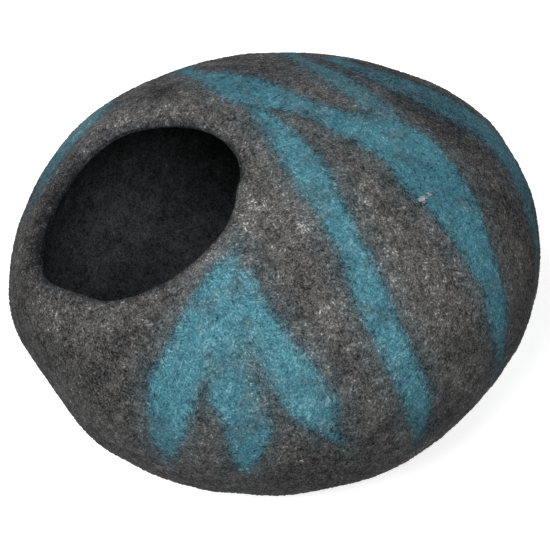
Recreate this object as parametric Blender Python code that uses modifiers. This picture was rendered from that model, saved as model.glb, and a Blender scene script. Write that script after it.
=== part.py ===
"""Felt cat cave: one seamless shell of thick wet-felted wool with a round entrance high on its front.

Frame: +Z is up, the entrance faces -Y, and the origin is the middle of the flat base.
Sizes are in metres, angles in degrees. An azimuth is measured round +Z from +X, so the
front is at -90, and an elevation is measured up from the widest level of the body.
"""

import math

import bmesh
import bpy
from mathutils import Vector

# Body
LENGTH = 0.500           # front to back, along Y
WIDTH = 0.470            # side to side, along X
HEIGHT = 0.278
WALL = 0.010             # thickness of the felt
WIDEST_SHARE = 0.42      # the widest level, as a share of the height
CROWN_FULLNESS = 2.15    # exponent of the curve above the widest level: 2 is an ellipse
BELLY_FULLNESS = 2.3     # the same below it
BELLY_REACH = 1.25       # how far the belly's curve would run below the floor: 1 just meets it
BASE_ROUNDING = 0.018    # over which the belly turns into the flat base

# Slow unevenness left by felting by hand. Negative heights are dents.
BULGES = [
    # azimuth, elevation, spread, height
    (88, 21, 20, 0.006),
    (150, 32, 30, -0.003),
    (-144, 32, 14, 0.002),
    (-118, 14, 16, -0.003),
    (-102, 1, 10, 0.003),
    (-86, -8, 13, -0.008),
    (-30, -14, 25, 0.002),
    (4, -18, 14, 0.002),
    (25, -8, 22, -0.0045),
]

# Entrance: an oval on a plane square to the wall at its middle
MOUTH_AZIMUTH = -90.0
MOUTH_ELEVATION = 45.0
MOUTH_WIDTH = 0.166
MOUTH_HEIGHT = 0.187
# Where the oval's edge strays outwards. Spokes are counted from +X towards the uphill side.
STRAYS = [
    # spoke, spread, outwards
    (176, 38, 0.012),
    (258, 13, 0.009),
    (292, 14, -0.004),
    (55, 16, -0.004),
]
LIP_REACH = 0.030        # the band round the entrance where the wall turns in
LIP_DIP = 0.007          # how far it has turned in at the edge
EDGE_RADIUS = 0.0045     # rounding of the wall's cut edge, just under half the wall

# Mesh
SPOKES = 60              # faces round the entrance
RINGS = 36               # rows of faces from the entrance to the far side
RING_CROWDING = 1.15     # above 1 the rows are closer together near the entrance
EDGE_SEGMENTS = 3        # faces across each rounded edge of the entrance
EDGE_ANGLE = 50          # edges sharper than this are rounded
FIND_STEPS = 24          # halvings when the entrance's edge is looked for
SLOPE_STEP = 0.5         # either side of the entrance's middle, to find the wall's slope

FELT_GREY = (0.105, 0.100, 0.098, 1.0)
FELT_ROUGHNESS = 0.95

WIDEST_LEVEL = WIDEST_SHARE * HEIGHT
HEART = Vector((0.0, 0.0, WIDEST_LEVEL))    # the body's shape is a distance from here
ACROSS = Vector((1.0, 0.0, 0.0))            # from side to side of the entrance


def clear_scene():
    """Remove what Blender starts with."""
    for thing in list(bpy.data.objects):
        bpy.data.objects.remove(thing)


def direction(azimuth, elevation):
    """Unit vector for an azimuth and an elevation in degrees."""
    around = math.radians(azimuth)
    up = math.radians(elevation)
    return Vector((math.cos(up) * math.cos(around), math.cos(up) * math.sin(around), math.sin(up)))


def smooth_min(first, second, blend):
    """The smaller of two lengths, rounded where they are within blend of each other."""
    share = 0.5 + 0.5 * (first - second) / blend
    share = min(1.0, max(0.0, share))
    return first * (1.0 - share) + second * share - blend * share * (1.0 - share)


def reach(towards):
    """Distance from the heart to the body's outer surface in one direction."""
    plan = math.hypot(towards.x / (WIDTH / 2), towards.y / (LENGTH / 2))
    if towards.z >= 0.0:
        fullness = CROWN_FULLNESS
        height = HEIGHT - WIDEST_LEVEL
    else:
        fullness = BELLY_FULLNESS
        height = WIDEST_LEVEL * BELLY_REACH
    far = (plan ** fullness + (abs(towards.z) / height) ** fullness) ** (-1.0 / fullness)
    for azimuth, elevation, spread, bulge in BULGES:
        away = math.degrees(towards.angle(direction(azimuth, elevation)))
        far += bulge * math.exp(-((away / spread) ** 2))
    if towards.z < 0.0:
        floor = WIDEST_LEVEL / -towards.z
        far = smooth_min(floor, far, BASE_ROUNDING)
    return far


def on_body(towards):
    """The point of the body's outer surface in one direction from the heart."""
    return HEART + towards * reach(towards)


def mouth_uphill():
    """Direction up the wall at the middle of the entrance."""
    below = on_body(direction(MOUTH_AZIMUTH, MOUTH_ELEVATION - SLOPE_STEP))
    above = on_body(direction(MOUTH_AZIMUTH, MOUTH_ELEVATION + SLOPE_STEP))
    return (above - below).normalized()


def mouth_offset(point, middle, uphill):
    """How far out a point is: below 1 inside the entrance's oval, 1 on it, above 1 past it."""
    arm = point - middle
    return math.hypot(arm.dot(ACROSS) / (MOUTH_WIDTH / 2), arm.dot(uphill) / (MOUTH_HEIGHT / 2))


def stray(spoke):
    """How far the entrance's edge stands outside its oval on one spoke."""
    outwards = 0.0
    for centre, spread, most in STRAYS:
        away = (math.degrees(spoke) - centre + 180.0) % 360.0 - 180.0
        outwards += most * math.exp(-((away / spread) ** 2))
    return outwards


def edge_angle(spoke, axis, side, uphill):
    """Angle from the entrance's axis at which one spoke crosses the entrance's edge."""
    edge_offset = 1.0 + stray(spoke) / ((MOUTH_WIDTH + MOUTH_HEIGHT) / 4)
    middle = on_body(axis)
    low = 0.0
    high = math.pi / 2
    for _ in range(FIND_STEPS):
        angle = (low + high) / 2
        point = on_body(axis * math.cos(angle) + side * math.sin(angle))
        if mouth_offset(point, middle, uphill) > edge_offset:
            high = angle
        else:
            low = angle
    return high


def lip(past_edge):
    """How far the wall has turned in, at a distance past the entrance's edge."""
    share = 1.0 - min(1.0, past_edge / LIP_REACH)
    return LIP_DIP * share * share


def felt_material():
    material = bpy.data.materials.new("wet-felted wool")
    material.use_nodes = True
    shader = material.node_tree.nodes["Principled BSDF"]
    shader.inputs["Base Color"].default_value = FELT_GREY
    shader.inputs["Roughness"].default_value = FELT_ROUGHNESS
    shader.inputs["Metallic"].default_value = 0.0
    material.diffuse_color = FELT_GREY
    return material


def shell_surface():
    """Outer surface of the shell, open at the entrance.

    It starts as a ball whose pole looks out of the entrance. The pole's cap is taken off, and
    the rows that are left run from the entrance's edge to the far side of the body.
    """
    axis = direction(MOUTH_AZIMUTH, MOUTH_ELEVATION)
    uphill = mouth_uphill()
    outward = ACROSS.cross(uphill)
    mesh = bmesh.new()
    bmesh.ops.create_uvsphere(mesh, u_segments=SPOKES, v_segments=RINGS + 1, radius=1.0)
    pole = max(mesh.verts, key=lambda vert: vert.co.z)
    bmesh.ops.delete(mesh, geom=[pole], context="VERTS")
    first_row = math.pi / (RINGS + 1)
    for vert in mesh.verts:
        polar = math.acos(max(-1.0, min(1.0, vert.co.z)))
        row_share = max(0.0, polar - first_row) / (math.pi - first_row)
        progress = row_share ** RING_CROWDING
        spoke = math.atan2(vert.co.y, vert.co.x)
        side = ACROSS * math.cos(spoke) + axis.cross(ACROSS) * math.sin(spoke)
        edge = edge_angle(spoke, axis, side, uphill)
        angle = edge + (math.pi - edge) * progress
        point = on_body(axis * math.cos(angle) + side * math.sin(angle))
        past_edge = (angle - edge) * (point - HEART).length
        vert.co = point - outward * lip(past_edge)
    bmesh.ops.recalc_face_normals(mesh, faces=mesh.faces)
    return mesh


def make_shell(collection):
    surface = shell_surface()
    data = bpy.data.meshes.new("felt_shell")
    surface.to_mesh(data)
    surface.free()
    shell = bpy.data.objects.new("felt_shell", data)
    collection.objects.link(shell)
    data.materials.append(felt_material())
    data.shade_smooth()

    wall = shell.modifiers.new("wall", "SOLIDIFY")
    wall.thickness = WALL
    wall.offset = -1.0
    wall.use_even_offset = True
    wall.use_rim = True

    rounding = shell.modifiers.new("soft edge", "BEVEL")
    rounding.width = EDGE_RADIUS
    rounding.segments = EDGE_SEGMENTS
    rounding.limit_method = "ANGLE"
    rounding.angle_limit = math.radians(EDGE_ANGLE)
    return shell


def main():
    clear_scene()
    collection = bpy.data.collections.new("felt cat cave")
    bpy.context.scene.collection.children.link(collection)
    make_shell(collection)


main()
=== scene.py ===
"""Looks of the felt cat cave: one seamless shell of thick wet-felted wool.

The body is heathered dark grey wool with turquoise stripes, which were laid on as loose wool and
felted into the surface with it. The room inside is charcoal wool, which wraps round the entrance's
edge.

Everything is in metres in the row's frame: +Z is up, the entrance faces -Y and the origin is the
middle of the flat base. An azimuth is measured round +Z from +X and an elevation up from the
widest level, both in degrees and seen from the heart, which lies at that level.
"""

import math

import bmesh
import bpy
import numpy as np
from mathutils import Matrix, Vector, noise
from mathutils.bvhtree import BVHTree
from mathutils.kdtree import KDTree


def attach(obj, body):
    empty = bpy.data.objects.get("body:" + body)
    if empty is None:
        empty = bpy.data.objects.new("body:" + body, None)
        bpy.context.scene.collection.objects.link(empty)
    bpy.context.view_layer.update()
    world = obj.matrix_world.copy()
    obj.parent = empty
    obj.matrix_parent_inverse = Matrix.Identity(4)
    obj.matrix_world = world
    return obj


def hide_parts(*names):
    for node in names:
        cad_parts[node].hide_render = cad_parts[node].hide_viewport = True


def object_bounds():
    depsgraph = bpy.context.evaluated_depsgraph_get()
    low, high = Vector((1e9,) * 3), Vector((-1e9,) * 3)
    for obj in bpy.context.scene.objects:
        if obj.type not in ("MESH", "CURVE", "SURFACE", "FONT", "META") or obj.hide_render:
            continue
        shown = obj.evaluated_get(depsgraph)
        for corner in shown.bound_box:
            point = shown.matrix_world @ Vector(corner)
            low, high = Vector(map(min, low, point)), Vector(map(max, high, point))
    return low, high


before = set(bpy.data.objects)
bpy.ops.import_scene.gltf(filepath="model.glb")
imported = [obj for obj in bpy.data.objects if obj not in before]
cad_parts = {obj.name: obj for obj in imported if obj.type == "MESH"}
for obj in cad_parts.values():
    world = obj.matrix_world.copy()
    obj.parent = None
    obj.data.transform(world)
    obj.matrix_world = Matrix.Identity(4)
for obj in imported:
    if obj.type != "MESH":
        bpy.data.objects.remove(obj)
cad_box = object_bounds()

MM = 0.001

# Camera, as the photograph was taken: from above and to the right of the entrance
VIEW_TURN = 62.0             # round +Z from straight in front
VIEW_ELEVATION = 45.0
VIEW_DISTANCE = 1.3
VIEW_TARGET = (0.0139, -0.0090, 0.1135)
VIEW_ANGLE = 22.35           # across the square frame
VIEW_REACH = 60.0            # nothing farther off is drawn, and the floor ends before it

# Light: two wide soft ones in front, a weak one that keeps the far side from going black, and the
# light table that the cave stands on
LIGHTS = {
    # name: azimuth, elevation, how wide it looks from the cave in degrees, strength, colour
    "key": (-78.0, 50.0, 35.0, 2.8, "#ffffff"),
    "side": (-15.0, 48.0, 30.0, 2.1, "#ffffff"),
    "back": (140.0, 8.0, 40.0, 1.7, "#f4f7ff"),
    "table": (0.0, -90.0, 60.0, 1.5, "#e6ecff"),
}
BACKDROP = "#ffffff"         # what is seen past the floor
FLOOR_COLOUR = "#ebebea"
FLOOR_ROUGHNESS = 0.9
FLOOR_GLOW = 0.45
FLOOR_REACH = 15.0           # from the cave to each side
FLOOR_GAP = 0.0002           # under the cave's base

# Shell
WIDEST_SHARE = 0.42          # the heart's height, as a share of the cave's
WELD = 0.01 * MM             # points of the frame's mesh that are this near are one
SMOOTHING_LEVELS = 2
EDGE_FACING = 0.35           # the entrance's edge faces less than this out of the cave or into it
RIM_FIELD = 40               # the distance to the edge is kept up to this many mm

# Gentle lumps that felting by hand leaves in the wall
LUMPS = [
    # across, height, both in mm
    (55, 1.6),
    (22, 0.7),
    (10, 0.25),
]
LUMP_BALL = 2.0              # they are laid out on a ball with a radius of this many heart's heights
BASE_CALM = 0.020            # and fade out over this height above the floor

# Strokes in the felt's surface, in mm. A wool fibre is 0.03 mm thick, too fine to show, so these are
# as coarse as the locks that the eye sees.
STROKE_WIDTH = 1.2
STROKE_LENGTH = 3.6
STROKE_PATCH = 9.0           # strokes in a patch of this size lie much the same way
STROKE_SWIRL = 22.0          # and curl over this distance
PATCH_EDGE = {"From_Min": 0.47, "From_Max": 0.53}

# Soft patterns in the wool. Grain and tufts are its locks and curls, patches and clouds are where
# lighter or darker wool was laid, and the last two are for the stripes only.
PATTERN_ROUGHNESS = 0.6
PATTERN_SHIFT = (1.0, 0.7, -1.0)    # which way a pattern's offset moves it
PATTERNS = {
    # name: size in mm, detail, and an offset that sets it apart from the others
    "grain": (1.7, 1.0, 31.0),
    "tufts": (4.5, 2.0, 37.0),
    "patches": (14.0, 1.0, 41.0),
    "clouds": (55.0, 1.0, 43.0),
    "raggedness": (22.0, 1.0, 47.0),
    "wear": (26.0, 1.0, 53.0),
}

# How far each pattern moves the wool along its colour chart, and where on the chart it starts
GREY_START = -1.34
GREY_WEIGHTS = {"strokes": 1.03, "grain": 0.93, "tufts": 0.8, "patches": 0.57, "clouds": 0.33}
TURQUOISE_START = -1.03
TURQUOISE_WEIGHTS = {"strokes": 1.1, "grain": 0.9, "tufts": 0.7, "patches": 0.5}
# painted shade of the crease along a stripe's edge, in steps of the colour chart
CREASE_SHADE_WEIGHT = -0.25

# How far each pattern moves a stripe's ragged edge and the charcoal wool's edge, in mm
FRAY_START = -19.0
FRAY_WEIGHTS = {"strokes": 14.0, "tufts": 12.0, "raggedness": 8.0}
STRIPE_EDGE = {"From_Min": -7.0, "From_Max": 8.0}
RIM_START = -7.0
RIM_WEIGHTS = {"tufts": 8.0, "strokes": 6.0}
RIM_EDGE = {"From_Min": 0.0, "From_Max": 9.0}

# Where a stripe's wool has worn thin, and how much of it is missing there
WEAR_WEIGHTS = {"wear": 1.0, "strokes": 0.35}
WEAR_EDGE = {"From_Min": 0.68, "From_Max": 0.86}
WORN_AWAY = 0.35

# Turquoise fibres that strayed into the grey beside a stripe, up to a tenth of the wool
HAZE_EDGE = {"From_Min": -24.0, "From_Max": -4.0, "To_Max": 0.1}

# How far each pattern, and a stripe, stands up from the surface, in mm
RELIEF_WEIGHTS = {"strokes": 0.55, "grain": 0.35, "tufts": 0.9}
STRIPE_RELIEF = 0.35

# Settings of nodes that are used more than once
SMOOTH = {"interpolation_type": "SMOOTHSTEP"}
TIMES = {"operation": "MULTIPLY"}
OF_COLOURS = {"data_type": "RGBA"}

# Wool scatters light with hardly any gloss
WOOL_ROUGHNESS = 1.0
WOOL_GLOSS = 0.1

# Stripes of turquoise wool. Each row is a point of a stripe's middle line, and half_width is in mm.
STRIPES = {
    "over the crown": [
        # azimuth, elevation, half_width
        (172, 4, 3),
        (180, 24, 11),
        (187, 43, 8),
        (183, 57, 19),
        (174, 69, 26),
        (155, 75, 20),
        (105, 76, 14),
        (72, 70, 18),
        (60, 56, 31),
        (45, 44, 34),
        (35, 30, 22),
        (29, 14, 15),
        (28, 5, 9),
        (29, -2, 5),
    ],
    "along the right side": [
        (186, 79, 9),
        (215, 88, 13),
        (-5, 78, 16),
        (-2, 66, 19),
        (-2, 50, 15),
        (-2, 30, 17),
        (0, 17, 15),
        (2, 10, 16),
        (3, 2, 13),
        (3, -4, 6),
    ],
    "branch behind the crown": [
        (151, 5, 3),
        (148, 20, 9),
        (146, 40, 9),
        (136, 51, 13),
        (112, 57, 16),
        (80, 57, 17),
    ],
    "far side": [
        (114, 8, 3),
        (122, 24, 9),
        (131, 38, 11),
        (114, 44, 19),
        (90, 38, 25),
        (80, 27, 25),
        (71, 21, 23),
        (62, 17, 18),
        (57, 12, 11),
        (53, 8, 3),
    ],
    "left of the entrance": [
        (-160, 10, 3),
        (-156, 22, 8),
        (-149, 29, 13),
        (-140, 29, 21),
        (-131, 24, 22),
        (-124, 21, 15),
        (-117, 17, 3),
    ],
    "splash, left tongue": [
        (-42, 47, 3),
        (-44, 38, 17),
        (-46, 28, 21),
        (-49, 16, 24),
        (-50, 7, 19),
        (-50, -3, 5),
    ],
    "splash, middle tongue": [
        (-39, 31, 19),
        (-38, 20, 25),
        (-34, 11, 23),
        (-34, 4, 16),
        (-34, -1, 8),
    ],
    "splash, right tongue": [
        (-38, 40, 10),
        (-32, 30, 18),
        (-25, 20, 23),
        (-20, 13, 20),
        (-17, 7, 7),
        (-14, 3, 2),
    ],
}
THINLY_LAID = {"branch behind the crown": 0.65, "far side": 0.75, "left of the entrance": 0.6}
LINE_STEPS = 6               # straight pieces between two rows of a stripe
STRIPE_FIELD = 40            # the distance to a stripe is kept up to this many mm

# Where the turquoise wool lies thinner, and how much of it is missing there
THIN_PLACES = [
    # azimuth, elevation, spread, share
    (-35, 24, 4, 0.45),
    (-30, 15, 3, 0.5),
    (-43, 46, 4, 0.35),
    (143, 46, 8, 0.45),
    (29, 0, 5, 0.45),
    (3, -4, 4, 0.30),
    (-50, -3, 4, 0.30),
]

# Where the colour is made lighter, above 0, or darker, below 0, in steps of the colour chart. Partly this
# is the wool's own uneven tone and partly painted light and painted shade, as marked at the rows.
TONES_AND_PAINTED_LIGHT = [
    # azimuth, elevation, spread, amount
    (-24, 58, 15, 0.10),
    (-18, 30, 10, 0.05),
    (-45, 24, 10, 0.05),
    (-42, 42, 8, 0.10),
    (-22, 14, 7, 0.10),
    (0, 18, 7, 0.05),
    (14, 38, 10, 0.10),
    (16, 6, 10, 0.05),
    (42, 46, 9, -0.15),
    # painted light: a paler band along the lower right edge, as light thrown up from the table would make
    (50, 4, 6, 0.10),
    (33, -9, 6, 0.15),
    (27, -14, 6, 0.15),
    (17, -17, 6, 0.20),
    (7, -17, 6, 0.15),
    (1, -13, 5, 0.10),
    (8, -1, 6, -0.15),
    (-18, -6, 12, -0.15),
    (-68, 18, 15, -0.10),
    (-70, 28, 6, 0.15),
    # painted shade: darker below and left of the entrance, down to where the wool rolls in at its edge
    (-90, 12, 10, -0.10),
    (-99, 21, 4, -0.40),
    (-105, 24, 4, -0.45),
    (-112, 27, 4, -0.35),
    (-117, 28, 9, -0.10),
    (-140, 26, 9, 0.10),
    (-155, 46, 6, -0.20),
    # painted shade: the far side and the right are darkened against the light that falls there
    (168, 46, 12, -0.15),
    (172, 64, 8, -0.15),
    (115, 43, 15, -0.25),
    (84, 39, 12, -0.25),
    (60, 22, 15, -0.15),
]

# Strands of wool that lie on the surface, felted down at both ends
STRAND_PIECES = 4
STRANDS_EACH = 13000
STRAND_SEED = 7
STRAND_LENGTH = (2.0, 5.0)   # mm
STRAND_RADIUS = (0.2, 0.36)  # mm
STRAND_LIFT = (0.1, 0.4)     # how far its middle stands up, in mm
STRAND_SINK = 0.15           # how far its ends are under the surface, in mm
STRAND_BEND = 0.22           # sideways, as a share of its length
STRAND_SWIRL = 12            # strands lie much the same way over this many mm
STRAND_STRAY = 0.35          # how far each one strays from that way
STRAND_STATIONS = (-1.0, -0.4, 0.4, 1.0)    # its tips, and where between them it is full thick
STRAND_CORNERS = (90.0, 210.0, 330.0)       # of its three-sided cross-section, in degrees
STRANDS_INSIDE = 0.4         # how thickly they lie in the room, outside being 1
BARE_BASE = 0.002            # no strands lower than this, in metres
LOWEST_STRAND = 0.0001       # and no point of one
STRAND_EVENNESS = 2.2        # above 1, most strands are neither dark nor light
DARKEST_STRAND = 0.21        # its place on the colour chart
STRAND_RANGE = 0.56          # how far up the chart from there they reach
ROOM_STRAND_RANGE = 0.25     # and from the chart's start, in the room
RIM_BLEND = 8.0              # past the entrance's edge the room's strands give way over this many mm
DYED_AT_EDGE = 0.43          # how turquoise a strand is on a stripe's edge
DYED_STRAY = 2.5             # how far strands stray over that edge, in mm
DYED_BLEND = 7.0             # from all grey to all turquoise, in mm
DYED_LIMITS = (0.05, 0.95)
TINT_PATCH = 0.008           # half the width of each strand's patch of the colour chart
# where a strand's points lie in that patch, in thirds of half its width
TINT_SPREAD = [(-3, 0), (-1, 3), (-1, -3), (-1, 0), (1, 3), (1, -3), (1, 0), (3, 0)]

# Flecks of pale wool that were felted in by chance
FLECKS = [
    # azimuth, elevation, turn from level, length and width in mm, strands
    (34, 44.3, -15, 9, 5, 65),
    (37.5, 44, -15, 9, 2, 12),
    (-23, 0.5, 10, 2, 1.5, 6),
    (18, 57, 70, 4, 2, 6),
]
FLECK_TONES = (0.90, 1.0)    # their places on the colour chart
FLECK_SCATTER = 0.25         # of its strands, as a share of its length and width
FLECK_LEAN = 0.3             # how far they stray from lying along it

# Wool colours, as sRGB hex, evenly spaced on the colour chart from the darkest strand to the lightest
GREY_WOOLS = ["#141517", "#242323", "#3a3939", "#4c4b4a", "#605f5d", "#706f6d", "#b5b4b2"]
TURQUOISE_WOOLS = ["#142a31", "#234350", "#355f6a", "#3e6d7a", "#477985", "#5a8b95", "#73a2ac"]
CHARCOAL_WOOLS = ["#141517", "#1c1d1f", "#2c2e2f", "#393b3d", "#434547", "#4d4e50", "#5f6061"]


def linear(hex_colour):
    """Linear RGBA of an sRGB hex colour."""
    channels = []
    for start in (1, 3, 5):
        value = int(hex_colour[start:start + 2], 16) / 255
        if value <= 0.04045:
            channels.append(value / 12.92)
        else:
            channels.append(((value + 0.055) / 1.055) ** 2.4)
    return (*channels, 1.0)


def direction(azimuth, elevation):
    """Unit vector for an azimuth and an elevation in degrees."""
    around = math.radians(azimuth)
    up = math.radians(elevation)
    return Vector((math.cos(up) * math.cos(around), math.cos(up) * math.sin(around), math.sin(up)))


def make_camera():
    data = bpy.data.cameras.new("camera")
    camera = bpy.data.objects.new("camera", data)
    bpy.context.scene.collection.objects.link(camera)
    target = Vector(VIEW_TARGET)
    camera.location = target + direction(VIEW_TURN - 90.0, VIEW_ELEVATION) * VIEW_DISTANCE
    camera.rotation_euler = (target - camera.location).to_track_quat("-Z", "Y").to_euler()
    data.sensor_fit = "HORIZONTAL"
    data.angle = math.radians(VIEW_ANGLE)
    data.clip_end = VIEW_REACH
    bpy.context.scene.camera = camera


def places_of(mesh):
    """The mesh's points as an array of rows."""
    places = np.empty(len(mesh.vertices) * 3)
    mesh.vertices.foreach_get("co", places)
    return places.reshape(-1, 3)


def normals_of(mesh):
    normals = np.empty(len(mesh.vertices) * 3)
    mesh.vertex_normals.foreach_get("vector", normals)
    return normals.reshape(-1, 3)


def unit(vectors):
    """The rows, each made one long."""
    return vectors / np.linalg.norm(vectors, axis=1)[:, None]


def rays_to(places, heart):
    """Unit vectors from the heart to the places."""
    return unit(places - heart)


def store(mesh, name, values):
    """Keep one number for each point of the mesh, for the material to read."""
    attribute = mesh.attributes.new(name, "FLOAT", "POINT")
    attribute.data.foreach_set("value", np.asarray(values, dtype=np.float32))


def values_of(mesh, name):
    """The numbers that store() kept."""
    values = np.empty(len(mesh.vertices))
    mesh.attributes[name].data.foreach_get("value", values)
    return values


def rounded_copy(node, name):
    """A finer, rounder copy of a node's mesh, in a new object."""
    mesh = bmesh.new()
    mesh.from_mesh(node.data)
    bmesh.ops.remove_doubles(mesh, verts=mesh.verts, dist=WELD)
    bmesh.ops.join_triangles(
        mesh, faces=mesh.faces, angle_face_threshold=math.pi, angle_shape_threshold=math.pi
    )
    data = bpy.data.meshes.new(name)
    mesh.to_mesh(data)
    mesh.free()
    piece = bpy.data.objects.new(name, data)
    bpy.context.scene.collection.objects.link(piece)
    rounding = piece.modifiers.new("rounding", "SUBSURF")
    rounding.levels = SMOOTHING_LEVELS
    rounding.render_levels = SMOOTHING_LEVELS
    evaluated = piece.evaluated_get(bpy.context.evaluated_depsgraph_get())
    piece.data = bpy.data.meshes.new_from_object(evaluated)
    piece.modifiers.clear()
    piece.data.name = name
    piece.data.materials.clear()
    piece.data.shade_smooth()
    return piece


def add_lumps(mesh, heart):
    """Push the wall gently in and out along its normals. Both faces move together."""
    places = places_of(mesh)
    normals = normals_of(mesh)
    rays = rays_to(places, heart)
    calm = np.clip(places[:, 2] / BASE_CALM, 0.0, 1.0)
    push = np.zeros(len(places))
    for row, ray in enumerate(rays):
        spot = Vector(ray) * heart[2] * LUMP_BALL
        for across, height in LUMPS:
            push[row] += height * MM * noise.noise(spot / (across * MM))
    side = np.sign(np.einsum("ij,ij->i", normals, rays))
    places += normals * (push * calm * side)[:, None]
    mesh.vertices.foreach_set("co", places.ravel())
    mesh.update()


def smooth_line(points):
    """More points along a Catmull-Rom curve through the given ones. Columns are x, y, z, width."""
    padded = np.vstack([2 * points[0] - points[1], points, 2 * points[-1] - points[-2]])
    line = []
    for first in range(len(points) - 1):
        before, start, end, after = padded[first:first + 4]
        for step in range(LINE_STEPS):
            share = step / LINE_STEPS
            line.append(
                0.5 * (
                    2 * start
                    + (end - before) * share
                    + (2 * before - 5 * start + 4 * end - after) * share ** 2
                    + (3 * start - before - 3 * end + after) * share ** 3
                )
            )
    line.append(points[-1])
    return np.array(line)


def inside_line(places, line):
    """How far inside a stripe each place is. It is negative outside, and all is in metres."""
    deepest = np.full(len(places), -np.inf)
    for start, end in zip(line[:-1], line[1:]):
        along = end[:3] - start[:3]
        share = np.clip((places - start[:3]) @ along / (along @ along), 0.0, 1.0)
        nearest = start[:3] + share[:, None] * along
        width = start[3] + share * (end[3] - start[3])
        deepest = np.maximum(deepest, width - np.linalg.norm(places - nearest, axis=1))
    return deepest


def stripe_line(rows, tree, heart):
    """A stripe's middle line on the outer surface, with its half width."""
    middle = Vector(heart)
    points = []
    for azimuth, elevation, half_width in rows:
        ray = direction(azimuth, elevation)
        place = tree.ray_cast(middle + ray, -ray)[0]
        points.append((*place, half_width * MM))
    return smooth_line(np.array(points))


def around_places(rays, rows):
    """The sum of soft round spots. Each row has an azimuth, an elevation, a spread and an amount."""
    amounts = np.zeros(len(rays))
    for azimuth, elevation, spread, amount in rows:
        towards = rays @ np.array(direction(azimuth, elevation))
        away = np.degrees(np.arccos(np.clip(towards, -1.0, 1.0)))
        amounts += amount * np.exp(-((away / spread) ** 2))
    return amounts


def lay_stripes(shell, heart):
    """Store how far inside the nearest stripe each point is, in mm, and how thick its wool lies."""
    tree = BVHTree.FromObject(shell, bpy.context.evaluated_depsgraph_get())
    places = places_of(shell.data)
    deepest = np.full(len(places), -np.inf)
    cover = np.ones(len(places))
    for name, rows in STRIPES.items():
        depth = inside_line(places, stripe_line(rows, tree, heart)) / MM
        cover[depth > deepest] = THINLY_LAID.get(name, 1.0)
        deepest = np.maximum(deepest, depth)
    cover *= 1.0 - around_places(rays_to(places, heart), THIN_PLACES)
    store(shell.data, "stripe_depth", np.clip(deepest, -STRIPE_FIELD, STRIPE_FIELD))
    store(shell.data, "stripe_cover", cover)


def rim_distance(mesh, facing):
    """How far each point is from the entrance's edge, in mm: above 0 outside and below 0 inside."""
    places = places_of(mesh)
    edge = np.flatnonzero(np.abs(facing) < EDGE_FACING)
    tree = KDTree(len(edge))
    for row in edge:
        tree.insert(places[row], row)
    tree.balance()
    away = np.array([tree.find(place)[2] for place in places]) / MM
    return np.sign(facing) * np.minimum(away, RIM_FIELD)


def add(tree, kind, settings=None, **inputs):
    """Add a node. An input's value may be a socket, or a node whose first output is taken.

    An input goes by its name, with _ for a space, or by _ and its number.
    """
    node = tree.nodes.new(kind)
    for name, value in (settings or {}).items():
        setattr(node, name, value)
    for name, value in inputs.items():
        socket = node.inputs[int(name[1:]) if name[0] == "_" else name.replace("_", " ")]
        if isinstance(value, bpy.types.Node):
            value = value.outputs[0]
        if isinstance(value, bpy.types.NodeSocket):
            tree.links.new(value, socket)
        else:
            socket.default_value = value
    return node


def wool_colours(tree, tone, colours):
    """The wool's colour for its place on the colour chart, from 0, the darkest, to 1, the lightest."""
    node = add(tree, "ShaderNodeValToRGB", Fac=tone)
    elements = node.color_ramp.elements
    for index, colour in enumerate(colours):
        element = elements[index] if index < 2 else elements.new(1.0)
        element.position = index / (len(colours) - 1)
        element.color = linear(colour)
    return node


def new_material(name):
    material = bpy.data.materials.new(name)
    material.use_nodes = True
    tree = material.node_tree
    shader = tree.nodes["Principled BSDF"]
    return material, tree, shader


def unevenness(tree, where, size, detail, offset):
    """Soft unevenness of the wool, from 0 to 1. Size is a vector or one number, in mm."""
    sizes = (size,) * 3 if isinstance(size, (int, float)) else size
    spread = add(
        tree,
        "ShaderNodeVectorMath",
        {"operation": "MULTIPLY_ADD"},
        _0=where,
        _1=tuple(1.0 / (across * MM) for across in sizes),
        _2=tuple(offset * share for share in PATTERN_SHIFT),
    )
    return add(
        tree, "ShaderNodeTexNoise", Vector=spread, Scale=1.0, Detail=detail, Roughness=PATTERN_ROUGHNESS
    )


def total(tree, start, parts):
    """A start plus values times their weights. Each part is (value, weight)."""
    result = start
    for value, weight in parts:
        result = add(tree, "ShaderNodeMath", {"operation": "MULTIPLY_ADD"}, _0=value, _1=weight, _2=result)
    return result


def weighted(patterns, weights):
    """The patterns that have a weight, each with it, as total() takes them."""
    return [(patterns[name], weight) for name, weight in weights.items()]


def strokes(tree, where):
    """Short strokes of wool, each patch of them lying its own way. From 0 to 1."""
    swirl = add(tree, "ShaderNodeTexNoise", Vector=where, Scale=1.0 / (STROKE_SWIRL * MM), Detail=0.0)
    bent = add(
        tree,
        "ShaderNodeVectorMath",
        {"operation": "MULTIPLY_ADD"},
        _0=swirl.outputs["Color"],
        _1=(STROKE_SWIRL * MM,) * 3,
        _2=where,
    )
    thin = STROKE_WIDTH
    long = STROKE_LENGTH
    lying = unevenness(tree, bent, (long, thin, thin), detail=1.0, offset=0.0)
    for turn, size in enumerate([(thin, long, thin), (thin, thin, long)]):
        other = unevenness(tree, bent, size, detail=1.0, offset=turn + 1.0)
        patch = unevenness(tree, where, STROKE_PATCH, detail=0.0, offset=turn + 5.0)
        here = add(tree, "ShaderNodeMapRange", SMOOTH, Value=patch, **PATCH_EDGE)
        lying = add(tree, "ShaderNodeMix", Factor=here, _2=lying, _3=other)
    return lying


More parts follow.
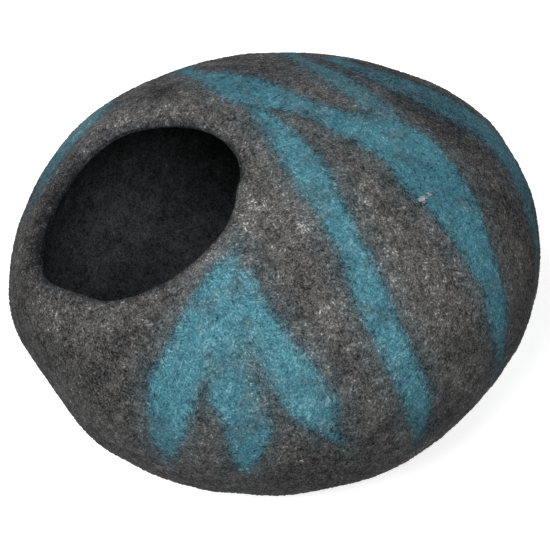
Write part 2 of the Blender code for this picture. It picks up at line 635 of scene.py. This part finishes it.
def felt_material():
    """Wool worked with soap and water until it mats: no weave, only short strands lying every way.

    It is quite matt, and its dark and light strands give it a heathered, grainy look.
    """
    material, tree, shader = new_material("wet-felted wool")
    where = add(tree, "ShaderNodeTexCoord").outputs["Object"]
    depth = add(tree, "ShaderNodeAttribute", {"attribute_name": "stripe_depth"}).outputs["Fac"]
    cover = add(tree, "ShaderNodeAttribute", {"attribute_name": "stripe_cover"}).outputs["Fac"]
    from_rim = add(tree, "ShaderNodeAttribute", {"attribute_name": "from_rim"}).outputs["Fac"]
    tone_and_painted_light = add(tree, "ShaderNodeAttribute", {"attribute_name": "tone_and_painted_light"}).outputs["Fac"]

    patterns = {"strokes": strokes(tree, where)}
    for name, (size, detail, offset) in PATTERNS.items():
        patterns[name] = unevenness(tree, where, size, detail, offset)

    # the turquoise wool ends in a ragged edge, is thin in places and strays into the grey beside it
    frayed = total(tree, FRAY_START, [(depth, 1.0)] + weighted(patterns, FRAY_WEIGHTS))
    covered = add(tree, "ShaderNodeMapRange", SMOOTH, Value=frayed, **STRIPE_EDGE)
    worn = total(tree, 0.0, weighted(patterns, WEAR_WEIGHTS))
    missing = add(tree, "ShaderNodeMapRange", SMOOTH, Value=worn, **WEAR_EDGE)
    thick = total(tree, 1.0, [(missing, -WORN_AWAY)])
    laid = add(tree, "ShaderNodeMath", TIMES, _0=covered, _1=cover)
    laid = add(tree, "ShaderNodeMath", TIMES, _0=laid, _1=thick)
    haze = add(tree, "ShaderNodeMapRange", SMOOTH, Value=frayed, **HAZE_EDGE)
    dyed = add(tree, "ShaderNodeMath", {"operation": "MAXIMUM"}, _0=laid, _1=haze)
    # painted shade: a faint dark line follows the stripe's edge, for the shade in the crease where the
    # stripe's wool steps up from the grey
    uncovered = total(tree, 1.0, [(covered, -1.0)])
    crease_shade = add(tree, "ShaderNodeMath", TIMES, _0=covered, _1=uncovered)

    # the stored tone carries painted light and painted shade as well as the wool's own unevenness, and the
    # crease's painted shade is added too
    local = [(tone_and_painted_light, 1.0), (crease_shade, CREASE_SHADE_WEIGHT)]
    grey_tone = total(tree, GREY_START, weighted(patterns, GREY_WEIGHTS) + local)
    dyed_tone = total(tree, TURQUOISE_START, weighted(patterns, TURQUOISE_WEIGHTS) + local)
    grey = wool_colours(tree, grey_tone, GREY_WOOLS)
    turquoise = wool_colours(tree, dyed_tone, TURQUOISE_WOOLS)
    charcoal = wool_colours(tree, grey_tone, CHARCOAL_WOOLS)
    outer = add(tree, "ShaderNodeMix", OF_COLOURS, Factor=dyed, _6=grey, _7=turquoise).outputs[2]
    past_rim = total(tree, RIM_START, [(from_rim, 1.0)] + weighted(patterns, RIM_WEIGHTS))
    outside = add(tree, "ShaderNodeMapRange", SMOOTH, Value=past_rim, **RIM_EDGE)
    whole = add(tree, "ShaderNodeMix", OF_COLOURS, Factor=outside, _6=charcoal, _7=outer).outputs[2]
    tree.links.new(whole, shader.inputs["Base Color"])

    relief = total(tree, 0.0, weighted(patterns, RELIEF_WEIGHTS) + [(covered, STRIPE_RELIEF)])
    bump = add(tree, "ShaderNodeBump", Strength=1.0, Distance=MM, Height=relief)
    tree.links.new(bump.outputs[0], shader.inputs["Normal"])
    shader.inputs["Roughness"].default_value = WOOL_ROUGHNESS
    shader.inputs["Specular IOR Level"].default_value = WOOL_GLOSS
    return material


def strand_material():
    """The same wool on strands of their own, which make the felt look hairy and heathered close up.

    Each strand has one place on the colour chart, across for its tone and up for how turquoise it is.
    """
    material, tree, shader = new_material("loose wool strands")
    chart = add(tree, "ShaderNodeUVMap", {"uv_map": "OFBake"})
    place = add(tree, "ShaderNodeSeparateXYZ", Vector=chart)
    dyed = place.outputs["Y"]
    grey = wool_colours(tree, place.outputs["X"], GREY_WOOLS)
    turquoise = wool_colours(tree, place.outputs["X"], TURQUOISE_WOOLS)
    whole = add(tree, "ShaderNodeMix", OF_COLOURS, Factor=dyed, _6=grey, _7=turquoise).outputs[2]
    tree.links.new(whole, shader.inputs["Base Color"])
    shader.inputs["Roughness"].default_value = WOOL_ROUGHNESS
    shader.inputs["Specular IOR Level"].default_value = WOOL_GLOSS
    return material


def make_shell(heart):
    shell = rounded_copy(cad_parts["felt_shell"], "wool_shell")
    add_lumps(shell.data, heart)
    rays = rays_to(places_of(shell.data), heart)
    facing = np.einsum("ij,ij->i", normals_of(shell.data), rays)
    store(shell.data, "from_rim", rim_distance(shell.data, facing))
    # the wool's uneven tone together with painted light and painted shade
    store(shell.data, "tone_and_painted_light", around_places(rays, TONES_AND_PAINTED_LIGHT))
    lay_stripes(shell, heart)
    shell.data.materials.append(felt_material())
    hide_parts("felt_shell")
    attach(shell, "root")
    return shell


def scattered(shell, count, random):
    """Random places on the shell's wool. Each has its normal and a row of the numbers stored there."""
    mesh = shell.data
    mesh.calc_loop_triangles()
    corners = np.empty(len(mesh.loop_triangles) * 3, dtype=np.int64)
    mesh.loop_triangles.foreach_get("vertices", corners)
    corners = corners.reshape(-1, 3)
    places = places_of(mesh)
    normals = normals_of(mesh)
    stored = np.column_stack([values_of(mesh, name) for name in ("stripe_depth", "from_rim", "tone_and_painted_light")])
    first, second, third = (places[corners[:, column]] for column in range(3))
    area = np.linalg.norm(np.cross(second - first, third - first), axis=1)
    area *= np.where(stored[corners, 1].mean(axis=1) < 0.0, STRANDS_INSIDE, 1.0)
    area *= places[corners][:, :, 2].mean(axis=1) > BARE_BASE
    running = np.cumsum(area)
    chosen = np.searchsorted(running, random.random(count) * running[-1])
    share = random.random((count, 2))
    folded = share.sum(axis=1) > 1.0
    share[folded] = 1.0 - share[folded]
    weights = np.column_stack([1.0 - share.sum(axis=1), share])[:, :, None]
    spots = (places[corners[chosen]] * weights).sum(axis=1)
    facing = unit((normals[corners[chosen]] * weights).sum(axis=1))
    return spots, facing, (stored[corners[chosen]] * weights).sum(axis=1)


def strand_points(middle, up, along, random):
    """The points of each strand, from tip to tip. It is a closed spindle, sunk in at both tips."""
    count = len(middle)
    across = np.cross(up, along)
    length = random.uniform(*STRAND_LENGTH, count)[:, None] * MM
    radius = random.uniform(*STRAND_RADIUS, count)[:, None] * MM
    lift = random.uniform(*STRAND_LIFT, count)[:, None] * MM
    bend = random.normal(0.0, STRAND_BEND, count)[:, None] * length
    rows = []
    for station in STRAND_STATIONS:
        rise = lift * (1.0 - station ** 2) - STRAND_SINK * MM * station ** 2
        sideways = bend * (1.0 - station ** 2)
        spine = middle + along * station * length / 2 + across * sideways + up * rise
        if abs(station) == 1.0:
            rows.append(spine)
            continue
        for corner in STRAND_CORNERS:
            turn = math.radians(corner)
            rows.append(spine + (across * math.cos(turn) + up * math.sin(turn)) * radius)
    points = np.stack(rows, axis=1)
    points[:, :, 2] = np.maximum(points[:, :, 2], LOWEST_STRAND)
    return points


def grown_strands(shell, random):
    """Strands all over the wool: their points, and each one's place on the colour chart."""
    middle, up, stored = scattered(shell, STRANDS_EACH, random)
    depth, from_rim, tone_and_painted_light = stored.T
    lay = np.array([noise.noise_vector(Vector(spot) / (STRAND_SWIRL * MM)) for spot in middle])
    lay += random.normal(0.0, STRAND_STRAY, lay.shape)
    points = strand_points(middle, up, unit(np.cross(up, lay)), random)
    count = len(middle)
    light = random.beta(STRAND_EVENNESS, STRAND_EVENNESS, count)
    outer = np.clip(from_rim / RIM_BLEND, 0.0, 1.0)
    # the strands carry the same painted light and painted shade as the wool under them
    tone = outer * (DARKEST_STRAND + STRAND_RANGE * light + tone_and_painted_light)
    tone += (1.0 - outer) * ROOM_STRAND_RANGE * light
    strayed = depth + random.normal(0.0, DYED_STRAY, count)
    dyed = np.clip(DYED_AT_EDGE + strayed / DYED_BLEND, *DYED_LIMITS)
    return points, np.column_stack([tone, outer * dyed])


def fleck_strands(shell, heart, random):
    """The same for the pale flecks."""
    tree = BVHTree.FromObject(shell, bpy.context.evaluated_depsgraph_get())
    points = []
    chart = []
    for azimuth, elevation, turn, length, width, count in FLECKS:
        ray = direction(azimuth, elevation)
        centre, up = tree.ray_cast(Vector(heart) + ray, -ray)[:2]
        level = Vector((0.0, 0.0, 1.0)).cross(up).normalized()
        slant = math.radians(turn)
        axis = level * math.cos(slant) + up.cross(level) * math.sin(slant)
        side = up.cross(axis)
        middle = []
        scatter = random.normal(0.0, FLECK_SCATTER, (count, 2)) * (length * MM, width * MM)
        for along, sideways in scatter:
            middle.append(tree.find_nearest(centre + axis * along + side * sideways)[0])
        ups = np.tile(up, (count, 1))
        leans = np.array(axis) + random.normal(0.0, FLECK_LEAN, (count, 3))
        leans -= ups * (leans * ups).sum(axis=1)[:, None]
        points.append(strand_points(np.array(middle), ups, unit(leans), random))
        chart.append(np.column_stack([random.uniform(*FLECK_TONES, count), np.zeros(count)]))
    return np.vstack(points), np.vstack(chart)


def spindles(name, places, chart):
    """A mesh of strands. Each has its points, from tip to tip, and one place on the colour chart."""
    count, points = places.shape[:2]
    sides = len(STRAND_CORNERS)
    near = 1
    far = near + sides
    triangles = []
    for corner in range(sides):
        after = (corner + 1) % sides
        triangles.append((0, near + after, near + corner))
        triangles.append((near + corner, near + after, far + after))
        triangles.append((near + corner, far + after, far + corner))
        triangles.append((far + corner, far + after, points - 1))
    triangles = np.array(triangles)
    corners = (np.arange(count)[:, None, None] * points + triangles).ravel()
    mesh = bpy.data.meshes.new(name)
    mesh.vertices.add(count * points)
    mesh.vertices.foreach_set("co", places.ravel())
    mesh.loops.add(len(corners))
    mesh.loops.foreach_set("vertex_index", corners)
    mesh.polygons.add(len(corners) // 3)
    mesh.polygons.foreach_set("loop_start", np.arange(0, len(corners), 3))
    mesh.update(calc_edges=True)
    spread = np.array(TINT_SPREAD) * TINT_PATCH / 3
    spots = (chart[:, None, :] + spread)[:, triangles.ravel(), :]
    mesh.uv_layers.new(name="OFBake")
    mesh.uv_layers["OFBake"].data.foreach_set("uv", spots.ravel())
    mesh.shade_smooth()
    piece = bpy.data.objects.new(name, mesh)
    bpy.context.scene.collection.objects.link(piece)
    return piece


def make_strands(shell, heart):
    """Short strands all over the wool, in several pieces."""
    random = np.random.default_rng(STRAND_SEED)
    material = strand_material()
    pieces = []
    for number in range(STRAND_PIECES):
        points, chart = grown_strands(shell, random)
        if number == 0:
            pale_points, pale_chart = fleck_strands(shell, heart, random)
            points = np.vstack([points, pale_points])
            chart = np.vstack([chart, pale_chart])
        margin = 2 * TINT_PATCH
        chart = np.clip(chart, margin, 1 - margin)
        piece = spindles(f"wool_strands_{number + 1}", points, chart)
        piece.data.materials.append(material)
        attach(piece, "root")
        pieces.append(piece)
    return pieces


def make_floor():
    data = bpy.data.meshes.new("floor")
    mesh = bmesh.new()
    bmesh.ops.create_grid(mesh, x_segments=1, y_segments=1, size=FLOOR_REACH)
    mesh.to_mesh(data)
    mesh.free()
    floor = bpy.data.objects.new("floor", data)
    bpy.context.scene.collection.objects.link(floor)
    floor.location.z = cad_box[0].z - FLOOR_GAP
    material, tree, shader = new_material("pale matt paper")
    shader.inputs["Base Color"].default_value = linear(FLOOR_COLOUR)
    shader.inputs["Roughness"].default_value = FLOOR_ROUGHNESS
    # it glows as the top of a light table does, so the shadow on it stays faint
    shader.inputs["Emission Color"].default_value = linear(BACKDROP)
    shader.inputs["Emission Strength"].default_value = FLOOR_GLOW
    material.cycles.emission_sampling = "NONE"
    data.materials.append(material)
    # what the table throws up at the wool is a light of its own, which the paper lets through
    floor.visible_diffuse = False
    floor.visible_shadow = False


def make_light():
    """A pale room and wide soft lights, as for a catalogue picture."""
    world = bpy.data.worlds.new("studio")
    bpy.context.scene.world = world
    world.use_nodes = True
    world.node_tree.nodes["Background"].inputs["Color"].default_value = linear(BACKDROP)
    # the room is only seen: what lights the wool is the lights
    world.cycles_visibility.diffuse = False
    world.cycles_visibility.glossy = False
    for name, (azimuth, elevation, width, strength, colour) in LIGHTS.items():
        data = bpy.data.lights.new(name, "SUN")
        data.angle = math.radians(width)
        data.energy = strength
        data.color = linear(colour)[:3]
        light = bpy.data.objects.new(name, data)
        bpy.context.scene.collection.objects.link(light)
        light.location = direction(azimuth, elevation) * VIEW_DISTANCE
        light.rotation_euler = (-light.location).to_track_quat("-Z", "Y").to_euler()


def main():
    make_camera()
    bpy.context.scene.view_settings.view_transform = "Standard"
    heart = np.array([0.0, 0.0, WIDEST_SHARE * cad_box[1].z])
    shell = make_shell(heart)
    fibres = make_strands(shell, heart)
    make_floor()
    make_light()


main()
